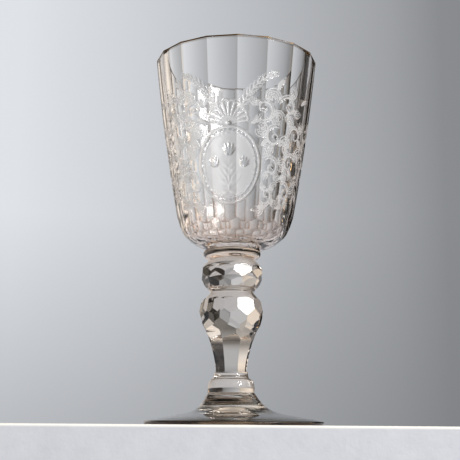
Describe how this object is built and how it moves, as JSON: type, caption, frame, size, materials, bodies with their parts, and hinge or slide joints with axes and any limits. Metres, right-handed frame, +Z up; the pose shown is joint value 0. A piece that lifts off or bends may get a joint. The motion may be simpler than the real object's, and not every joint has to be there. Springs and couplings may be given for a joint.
{
  "type": "drinking goblet",
  "caption": "Stemmed glass goblet: panelled bucket bowl with gilt lip, cut knop, cut inverted baluster stem and flared round foot.",
  "frame": {"origin": "centre of the foot on the plane that the goblet stands on", "axes": "+Z up along the axis of bowl and foot; -Y towards the viewer of the picture, +X to the viewer's right"},
  "size_m": [0.076, 0.076, 0.16],
  "materials": {
    "foot_glass": "fire-polished, faint warm tint",
    "stem_glass": "cut and polished, faint warm tint",
    "bowl_glass": "cut, polished and engraved, faint warm tint",
    "gilding": "thin fired gilding, rubbed by use"
  },
  "bodies": {
    "root": {"foot": "foot_glass", "base_knop": "stem_glass", "lower_ring": "stem_glass", "baluster": "stem_glass", "neck_ring": "stem_glass", "upper_knop": "stem_glass", "merese": "stem_glass", "bowl": "bowl_glass", "rim_gilding": "gilding"}
  },
  "joints": []
}
